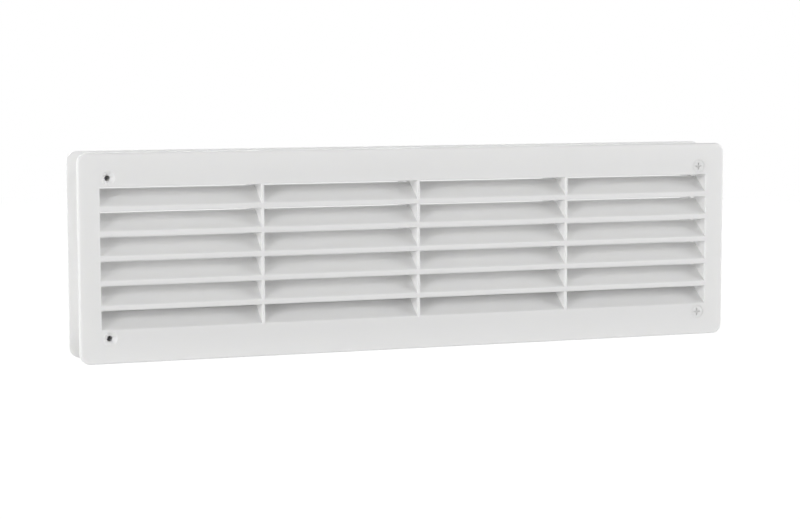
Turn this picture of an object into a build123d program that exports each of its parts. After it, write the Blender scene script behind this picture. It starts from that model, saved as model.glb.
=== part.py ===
"""Two-sided louvre vent, as fitted in a door: two like mouldings back to back, held by four screws.

X runs along the vent, Y through the door from front to rear, Z up. The origin is the middle of the door's
cut-out, half way through the door.
"""
from build123d import *
import math
import os

# Flange: the frame that covers the rim of the door's cut-out
flange_width = 455
flange_height = 134
flange_thickness = 3
corner_radius = 6.5
edge_radius = 1.6

# Door leaf between the two flanges
door_thickness = 33

# Louvre: rows of slots in the flange, parted by slat noses and upright bars
slot_rows = 6
slot_columns = 4
side_margin = 14
top_margin = 21.7
nose_height = 3.6
bar_thickness = 2
bar_rear_thickness = 1.4
slot_edge_chamfer = 0.4

# Slats: they rise from the nose to a thin rear edge, which stays below the nose above
slat_depth = 15.5
slat_rear_edge = 2.2
slat_clear_gap = 1.9

# Collar: the sleeve that lines the cut-out
collar_depth = 17.5
collar_wall = 2

# Screw bosses, beside the ends of the louvre and sunk a little into the collar's wall
boss_diameter = 7.5
boss_inset = 5.5
boss_offset = 5.7
boss_sink = 0.75

# Screw holes: clear at one end of a half, and a tighter pilot hole at the other end
clear_hole_diameter = 4.5
pilot_hole_diameter = 3.6
countersink_diameter = 9
countersink_angle = 90

# Screws: countersunk heads with a cross recess
screw_length = 30
screw_point = 2.5
head_sink = 0.25
screw_clearance = 0.05
recess_span = 5
recess_slot = 1.1
recess_depth = 1.4
recess_draft = 12

# Places that follow from the sizes above
fitted_depth = door_thickness + 2 * flange_thickness
face_y = -fitted_depth / 2
opening_width = flange_width - 2 * side_margin
opening_height = flange_height - 2 * top_margin
slot_width = (opening_width - (slot_columns - 1) * bar_thickness) / slot_columns
slot_height = (opening_height - (slot_rows - 1) * nose_height) / slot_rows
row_pitch = slot_height + nose_height
column_pitch = slot_width + bar_thickness
slat_rise = slot_height - slat_clear_gap
slot_floors = [row * row_pitch - opening_height / 2 for row in range(slot_rows)]
first_bar = slot_width + bar_thickness / 2 - opening_width / 2
bar_places = [first_bar + column * column_pitch for column in range(slot_columns - 1)]
screw_x = opening_width / 2 - boss_inset
screw_z = opening_height / 2 + boss_offset
countersink_radius = countersink_diameter / 2
collar_inner_height = 2 * (screw_z - boss_sink) + boss_diameter

face_plane = Plane.XZ.offset(-face_y)
door_plane = face_plane.offset(-flange_thickness)

os.makedirs("parts", exist_ok=True)

# Front half
with BuildPart() as front_grille:
    # Flange with rounded corners and a soft front edge
    with BuildSketch(face_plane):
        RectangleRounded(flange_width, flange_height, corner_radius)
    extrude(amount=-flange_thickness)
    fillet(front_grille.faces().sort_by(Axis.Y)[0].edges(), edge_radius)

    # Opening for the louvre, with a broken edge
    with BuildSketch(face_plane):
        Rectangle(opening_width, opening_height)
    extrude(amount=-flange_thickness, mode=Mode.SUBTRACT)
    chamfer(front_grille.faces().sort_by(Axis.Y)[0].inner_wires()[0].edges(), slot_edge_chamfer)

    # Collar, level with the ends of the opening
    with BuildSketch(door_plane):
        Rectangle(opening_width + 2 * collar_wall, collar_inner_height + 2 * collar_wall)
        Rectangle(opening_width, collar_inner_height, mode=Mode.SUBTRACT)
    extrude(amount=flange_thickness - collar_depth)

    # Sloping slats with broken nose edges, their ends in the collar's side walls
    with BuildSketch(Plane.YZ) as slat_sections:
        with Locations(*[(face_y, floor) for floor in slot_floors]):
            Polygon(
                (0, 0),
                (slat_depth, slat_rise),
                (slat_depth, slat_rise - slat_rear_edge),
                (0, -nose_height),
                align=None,
            )
        chamfer(slat_sections.vertices().group_by(Axis.X)[0], slot_edge_chamfer)
    extrude(amount=(opening_width + collar_wall) / 2, both=True)

    # Upright bars, thinner towards the rear, their ends in the collar's top and bottom walls
    with BuildSketch(Plane.XY) as bar_sections:
        with Locations(*[(bar_x, face_y) for bar_x in bar_places]):
            Polygon(
                (-bar_thickness / 2, 0),
                (bar_thickness / 2, 0),
                (bar_rear_thickness / 2, collar_depth),
                (-bar_rear_thickness / 2, collar_depth),
                align=None,
            )
        chamfer(bar_sections.vertices().group_by(Axis.Y)[0], slot_edge_chamfer)
    extrude(amount=(collar_inner_height + collar_wall) / 2, both=True)

    # Screw bosses
    with BuildSketch(door_plane):
        with GridLocations(2 * screw_x, 2 * screw_z, 2, 2):
            Circle(boss_diameter / 2)
    extrude(amount=flange_thickness - collar_depth)

    # Clear holes at the right, pilot holes at the left
    with Locations(face_plane):
        with Locations((screw_x, screw_z), (screw_x, -screw_z)):
            CounterSinkHole(clear_hole_diameter / 2, countersink_radius, counter_sink_angle=countersink_angle)
        with Locations((-screw_x, screw_z), (-screw_x, -screw_z)):
            CounterSinkHole(pilot_hole_diameter / 2, countersink_radius, counter_sink_angle=countersink_angle)

front_grille.part.label = "front_grille"
export_step(front_grille.part, "parts/front_grille.step")

# Rear half: the same moulding, turned half a turn about the upright axis
with BuildPart() as rear_grille:
    add(front_grille.part, rotation=(0, 0, 180))

rear_grille.part.label = "rear_grille"
export_step(rear_grille.part, "parts/rear_grille.step")

# One screw on the Y axis, with its head seated in a front countersink
cone_slope = math.tan(math.radians(countersink_angle / 2))
head_y = face_y + head_sink
head_radius = countersink_radius - head_sink * cone_slope - screw_clearance
shank_radius = pilot_hole_diameter / 2 - screw_clearance
head_height = (head_radius - shank_radius) / cone_slope
tip_y = head_y + screw_length

with BuildPart() as screw:
    with BuildSketch(Plane.XY):
        with BuildLine():
            Polyline(
                (0, head_y),
                (head_radius, head_y),
                (shank_radius, head_y + head_height),
                (shank_radius, tip_y - screw_point),
                (0, tip_y),
                close=True,
            )
        make_face()
    revolve(axis=Axis.Y)

    # Cross recess, narrower towards its floor
    with BuildSketch(Plane.XZ.offset(-head_y)):
        Rectangle(recess_span, recess_slot)
        Rectangle(recess_slot, recess_span)
    extrude(amount=-recess_depth, taper=recess_draft, mode=Mode.SUBTRACT)

# Two screws from the front at the right, two from the rear at the left
with BuildPart() as fixing_screws:
    with Locations((screw_x, 0, screw_z), (screw_x, 0, -screw_z)):
        add(screw.part)
    with Locations((-screw_x, 0, screw_z), (-screw_x, 0, -screw_z)):
        add(screw.part, rotation=(0, 0, 180))

fixing_screws.part.label = "fixing_screws"
export_step(fixing_screws.part, "parts/fixing_screws.step")
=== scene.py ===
"""Looks of the two-sided door louvre vent: satin white plastic, painted screws and soft studio light."""

import math

import bmesh
import bpy
from mathutils import Matrix, Vector


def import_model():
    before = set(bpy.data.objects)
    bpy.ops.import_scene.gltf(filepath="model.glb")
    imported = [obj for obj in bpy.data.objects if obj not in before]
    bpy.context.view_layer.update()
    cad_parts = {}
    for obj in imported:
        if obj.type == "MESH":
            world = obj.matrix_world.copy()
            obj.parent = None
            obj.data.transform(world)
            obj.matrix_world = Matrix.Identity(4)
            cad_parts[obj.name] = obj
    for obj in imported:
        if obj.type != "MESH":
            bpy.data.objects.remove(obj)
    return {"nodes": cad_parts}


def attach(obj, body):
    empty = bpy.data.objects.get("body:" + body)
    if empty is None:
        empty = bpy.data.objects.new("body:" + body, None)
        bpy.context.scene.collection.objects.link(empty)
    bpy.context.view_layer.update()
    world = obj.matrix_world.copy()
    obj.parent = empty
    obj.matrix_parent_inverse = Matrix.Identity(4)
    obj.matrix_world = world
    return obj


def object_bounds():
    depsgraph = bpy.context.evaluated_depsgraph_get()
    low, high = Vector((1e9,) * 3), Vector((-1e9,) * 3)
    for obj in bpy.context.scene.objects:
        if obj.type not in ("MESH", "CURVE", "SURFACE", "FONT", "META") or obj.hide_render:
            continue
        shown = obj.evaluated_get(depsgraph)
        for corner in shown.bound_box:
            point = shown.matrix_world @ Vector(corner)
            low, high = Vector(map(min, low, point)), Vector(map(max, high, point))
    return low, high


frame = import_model()
cad_low, cad_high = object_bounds()

MM = 0.001

# Camera of the photograph, as fitted to the vent's straight edges
CAMERA_PLACE = Vector((-0.46164, -1.28061, 0.12075))
CAMERA_HEADING = math.radians(19.573)
CAMERA_DOWN = math.radians(5.446)
CAMERA_ROLL = math.radians(-0.124)
CAMERA_LENS = 91.16
CAMERA_SENSOR = 36
CAMERA_NEAR = 0.01
CAMERA_FAR = 100

# Moulded plastic, which lets a little light in, blue a little less deep than red and green
PLASTIC_COLOUR = (0.90, 0.90, 0.897)
PLASTIC_LIGHT_DEPTH = 2 * MM
PLASTIC_LIGHT_BY_COLOUR = (1.0, 1.0, 0.97)
PLASTIC_ROUGHNESS = (0.36, 0.46)

# Faint clouds in the plastic's white, with the scale in marks per metre as for all the noise here
CLOUD_SCALE = 14
CLOUD_DETAIL = 3
CLOUD_SPREAD = 0.012

# Slight waves of shrinkage in the plastic
WAVE_SCALE = 40
WAVE_DETAIL = 1
WAVE_STRENGTH = 0.3
WAVE_HEIGHT = 0.04 * MM

# Fine eroded grain of the plastic
GRAIN_SCALE = 2200
GRAIN_DETAIL = 2
GRAIN_STRENGTH = 0.08
GRAIN_HEIGHT = 0.02 * MM

# Uneven paint of the screws
PAINT_COLOUR = (0.86, 0.86, 0.857)
PAINT_ROUGHNESS = (0.28, 0.40)
PAINT_SCALE = 420
PAINT_DETAIL = 4
PAINT_SPREAD = 0.035
PAINT_STRENGTH = 0.15
PAINT_HEIGHT = 0.03 * MM

# Threads of the screws, which narrow along the point to a small share of their radius
THREAD_PITCH = 1.4 * MM
THREAD_ROOT = 1.6 * MM
THREAD_CREST = 2.1 * MM
THREAD_WIDTH = 0.8 * MM
THREAD_STEPS = 20
PLAIN_NECK = 9 * MM
SCREW_POINT = 2.5 * MM
POINT_SHARE = 0.05

# Studio: light from all round and from the floor, and soft square lamps as (azimuth, elevation, side, watts).
# Azimuth 0 is straight in front of the vent, and a negative one is to the left.
WORLD_STRENGTH = 0.16
FLOOR_LIGHT = 0.14
LAMP_DISTANCE = 4.0
LAMPS = {
    "left": (-90, 10, 2.0, 34.0),
    "key": (-55, 12, 1.4, 63.0),
    "right": (60, 15, 2.0, 76.0),
    "backdrop": (180, 14, 4.0, 128.0),
}

# Floor: it lights the vent as a pale matt surface, and is seen as a white one
FLOOR_SIZE = 12
FLOOR_ALBEDO = 0.8
WHITE = 1.0

# The floor shows the vent's shadow up to the first distance and fades to plain white by the second
SHADOW_REACH = 0.6
WHITE_FROM = 1.6
SHADOW_ALBEDO = 0.3
SHADOW_GLOW = 0.87

# Sockets of a node that mixes two colours
MIX_FACTOR = 0
MIX_FIRST = 6
MIX_SECOND = 7
MIX_RESULT = 2


def add_node(owner, kind, **values):
    """A new shader node, with its inputs and attributes set by name."""
    node = owner.node_tree.nodes.new(kind)
    for name, value in values.items():
        if name in node.inputs:
            node.inputs[name].default_value = value
        else:
            setattr(node, name, value)
    return node


def link(owner, source, target):
    owner.node_tree.links.new(source, target)


def new_material(name):
    """An empty node material with its output node."""
    material = bpy.data.materials.new(name)
    material.use_nodes = True
    material.node_tree.nodes.clear()
    return material, add_node(material, "ShaderNodeOutputMaterial")


def grey(value):
    return (value, value, value, 1)


def noise(material, scale, detail):
    """Noise through the solid, with its scale in marks per metre."""
    place = add_node(material, "ShaderNodeTexCoord")
    made = add_node(material, "ShaderNodeTexNoise", Scale=scale, Detail=detail)
    link(material, place.outputs["Object"], made.inputs["Vector"])
    return made.outputs["Fac"]


def vary_colour(material, shader, factor, colour, spread):
    """Lets the colour wander a little to both sides of the given one."""
    tint = add_node(material, "ShaderNodeMix", data_type="RGBA")
    tint.inputs[MIX_FIRST].default_value = (*((1 - spread) * c for c in colour), 1)
    tint.inputs[MIX_SECOND].default_value = (*((1 + spread) * c for c in colour), 1)
    link(material, factor, tint.inputs[MIX_FACTOR])
    link(material, tint.outputs[MIX_RESULT], shader.inputs["Base Color"])


def vary_roughness(material, shader, factor, low, high):
    span = add_node(material, "ShaderNodeMapRange")
    span.inputs["To Min"].default_value = low
    span.inputs["To Max"].default_value = high
    link(material, factor, span.inputs["Value"])
    link(material, span.outputs["Result"], shader.inputs["Roughness"])


def raise_bump(material, height, strength, distance, under=None):
    """A bump on top of another one, if that is given. Returns the bent normal."""
    bump = add_node(material, "ShaderNodeBump", Strength=strength, Distance=distance)
    link(material, height, bump.inputs["Height"])
    if under:
        link(material, under, bump.inputs["Normal"])
    return bump.outputs["Normal"]


def white_plastic():
    """Satin moulded plastic: faint clouds in the white, slight waves of shrinkage and a fine eroded grain."""
    material, output = new_material("satin_white_plastic")
    shader = add_node(material, "ShaderNodeBsdfPrincipled")
    shader.inputs["Subsurface Weight"].default_value = 1.0
    shader.inputs["Subsurface Radius"].default_value = PLASTIC_LIGHT_BY_COLOUR
    shader.inputs["Subsurface Scale"].default_value = PLASTIC_LIGHT_DEPTH
    cloud = noise(material, CLOUD_SCALE, CLOUD_DETAIL)
    vary_colour(material, shader, cloud, PLASTIC_COLOUR, CLOUD_SPREAD)
    vary_roughness(material, shader, cloud, *PLASTIC_ROUGHNESS)
    wave = noise(material, WAVE_SCALE, WAVE_DETAIL)
    waves = raise_bump(material, wave, WAVE_STRENGTH, WAVE_HEIGHT)
    speck = noise(material, GRAIN_SCALE, GRAIN_DETAIL)
    grain = raise_bump(material, speck, GRAIN_STRENGTH, GRAIN_HEIGHT, under=waves)
    link(material, grain, shader.inputs["Normal"])
    link(material, shader.outputs["BSDF"], output.inputs["Surface"])
    return material


def painted_screw():
    """White paint on steel, a little glossier than the plastic and slightly uneven."""
    material, output = new_material("painted_screw")
    shader = add_node(material, "ShaderNodeBsdfPrincipled")
    patch = noise(material, PAINT_SCALE, PAINT_DETAIL)
    vary_colour(material, shader, patch, PAINT_COLOUR, PAINT_SPREAD)
    vary_roughness(material, shader, patch, *PAINT_ROUGHNESS)
    link(material, raise_bump(material, patch, PAINT_STRENGTH, PAINT_HEIGHT), shader.inputs["Normal"])
    link(material, shader.outputs["BSDF"], output.inputs["Surface"])
    return material


def dress(node, material):
    """Gives a CAD node its finish."""
    for place in frame["nodes"][node].material_slots:
        place.material = material


def add_thread(mesh, head, ahead, length):
    """One ridge that winds right-handed round a shank, from the plain neck to the point."""
    steps = round((length - PLAIN_NECK) / THREAD_PITCH * THREAD_STEPS)
    last = None
    for step in range(steps + 1):
        along = PLAIN_NECK + (length - PLAIN_NECK) * step / steps
        angle = 2 * math.pi * step / THREAD_STEPS
        outward = Vector((math.cos(angle), 0, -ahead * math.sin(angle)))
        rise = min(1, step / THREAD_STEPS)
        taper = max(POINT_SHARE, min(1, (length - along) / SCREW_POINT))
        crest = THREAD_ROOT + (THREAD_CREST - THREAD_ROOT) * rise
        ring = []
        for shift, radius in ((-THREAD_WIDTH / 2, THREAD_ROOT), (0, crest), (THREAD_WIDTH / 2, THREAD_ROOT)):
            centre = head + Vector((0, ahead * min(length, along + shift), 0))
            ring.append(mesh.verts.new(centre + outward * radius * taper))
        if last:
            for a, b in ((0, 1), (1, 2), (2, 0)):
                mesh.faces.new((last[a], last[b], ring[b], ring[a]))
        else:
            mesh.faces.new(ring)
        last = ring
    mesh.faces.new(reversed(last))


def screw_threads(material):
    """The threads of the four screws, as one piece.

    The right screws point to the rear, and the left ones to the front.
    """
    screws = frame["nodes"]["fixing_screws"]
    corners = [screws.matrix_world @ vertex.co for vertex in screws.data.vertices]
    mesh = bmesh.new()
    for side in (-1, 1):
        for level in (-1, 1):
            own = [p for p in corners if p.x * side > 0 and p.z * level > 0]
            low = Vector([min(p[axis] for p in own) for axis in range(3)])
            high = Vector([max(p[axis] for p in own) for axis in range(3)])
            head = (low + high) / 2
            head.y = low.y if side > 0 else high.y
            add_thread(mesh, head, side, high.y - low.y)
    bmesh.ops.recalc_face_normals(mesh, faces=mesh.faces)
    data = bpy.data.meshes.new("screw_threads")
    mesh.to_mesh(data)
    mesh.free()
    data.materials.append(material)
    piece = bpy.data.objects.new("screw_threads", data)
    bpy.context.scene.collection.objects.link(piece)
    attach(piece, "root")


def seen_directly(owner):
    """1 for what is seen itself, in a reflection or through something, and 0 for light on surfaces."""
    path = add_node(owner, "ShaderNodeLightPath")
    either = add_node(owner, "ShaderNodeMath", operation="MAXIMUM")
    link(owner, path.outputs["Is Camera Ray"], either.inputs[0])
    link(owner, path.outputs["Is Glossy Ray"], either.inputs[1])
    any_of_three = add_node(owner, "ShaderNodeMath", operation="MAXIMUM")
    link(owner, either.outputs[0], any_of_three.inputs[0])
    link(owner, path.outputs["Is Transmission Ray"], any_of_three.inputs[1])
    return any_of_three.outputs[0]


def choose_by_ray(owner, output, lighting, shown):
    """Uses one shader as a light on other surfaces and the other one for what is seen directly."""
    choose = add_node(owner, "ShaderNodeMixShader")
    link(owner, seen_directly(owner), choose.inputs[0])
    link(owner, lighting, choose.inputs[1])
    link(owner, shown, choose.inputs[2])
    link(owner, choose.outputs[0], output.inputs["Surface"])


def lit_and_glowing(material, albedo, glow):
    """A matt surface that also gives some light."""
    matt = add_node(material, "ShaderNodeBsdfDiffuse", Color=grey(albedo))
    light = add_node(material, "ShaderNodeEmission", Strength=glow)
    both = add_node(material, "ShaderNodeAddShader")
    link(material, matt.outputs[0], both.inputs[0])
    link(material, light.outputs[0], both.inputs[1])
    return both.outputs[0]


def floor():
    """A wide pale floor under the vent, which shows white with a faint shadow."""
    bpy.ops.mesh.primitive_plane_add(size=FLOOR_SIZE, location=(0, 0, cad_low.z))
    piece = bpy.context.object
    piece.name = "floor"
    material, output = new_material("pale_floor")
    lighting = lit_and_glowing(material, FLOOR_ALBEDO, FLOOR_LIGHT)
    near = lit_and_glowing(material, SHADOW_ALBEDO, SHADOW_GLOW)
    far = add_node(material, "ShaderNodeEmission", Strength=WHITE)
    place = add_node(material, "ShaderNodeTexCoord")
    distance = add_node(material, "ShaderNodeVectorMath", operation="LENGTH")
    link(material, place.outputs["Object"], distance.inputs[0])
    fade = add_node(material, "ShaderNodeMapRange", interpolation_type="SMOOTHSTEP")
    fade.inputs["From Min"].default_value = SHADOW_REACH
    fade.inputs["From Max"].default_value = WHITE_FROM
    link(material, distance.outputs["Value"], fade.inputs["Value"])
    shown = add_node(material, "ShaderNodeMixShader")
    link(material, fade.outputs["Result"], shown.inputs[0])
    link(material, near, shown.inputs[1])
    link(material, far.outputs[0], shown.inputs[2])
    choose_by_ray(material, output, lighting, shown.outputs[0])
    piece.data.materials.append(material)


def world():
    """Even light from all round, and white where the camera sees past the floor."""
    made = bpy.data.worlds.new("studio")
    bpy.context.scene.world = made
    made.use_nodes = True
    made.node_tree.nodes.clear()
    output = add_node(made, "ShaderNodeOutputWorld")
    lighting = add_node(made, "ShaderNodeBackground", Color=grey(WHITE), Strength=WORLD_STRENGTH)
    shown = add_node(made, "ShaderNodeBackground", Color=grey(WHITE), Strength=WHITE)
    choose_by_ray(made, output, lighting.outputs[0], shown.outputs[0])


def softbox(name, azimuth, elevation, side, watts):
    """A soft square lamp that faces the vent and isn't seen itself."""
    around = math.radians(azimuth)
    up = math.radians(elevation)
    direction = Vector((math.sin(around) * math.cos(up), -math.cos(around) * math.cos(up), math.sin(up)))
    lamp = bpy.data.lights.new(name, "AREA")
    lamp.shape = "SQUARE"
    lamp.size = side
    lamp.energy = watts
    piece = bpy.data.objects.new(name, lamp)
    turn = direction.to_track_quat("Z", "Y").to_matrix().to_4x4()
    piece.matrix_world = Matrix.Translation(direction * LAMP_DISTANCE) @ turn
    piece.visible_camera = False
    bpy.context.scene.collection.objects.link(piece)


def camera():
    data = bpy.data.cameras.new("photo_camera")
    data.lens = CAMERA_LENS
    data.sensor_width = CAMERA_SENSOR
    data.clip_start = CAMERA_NEAR
    data.clip_end = CAMERA_FAR
    piece = bpy.data.objects.new("photo_camera", data)
    turn = (
        Matrix.Rotation(-CAMERA_HEADING, 4, "Z")
        @ Matrix.Rotation(math.pi / 2 - CAMERA_DOWN, 4, "X")
        @ Matrix.Rotation(CAMERA_ROLL, 4, "Z")
    )
    piece.matrix_world = Matrix.Translation(CAMERA_PLACE) @ turn
    bpy.context.scene.collection.objects.link(piece)
    bpy.context.scene.camera = piece


plastic = white_plastic()
paint = painted_screw()
dress("front_grille", plastic)
dress("rear_grille", plastic)
dress("fixing_screws", paint)
screw_threads(paint)
floor()
world()
for lamp_name, lamp in LAMPS.items():
    softbox(lamp_name, *lamp)
camera()
bpy.context.scene.view_settings.view_transform = "Standard"
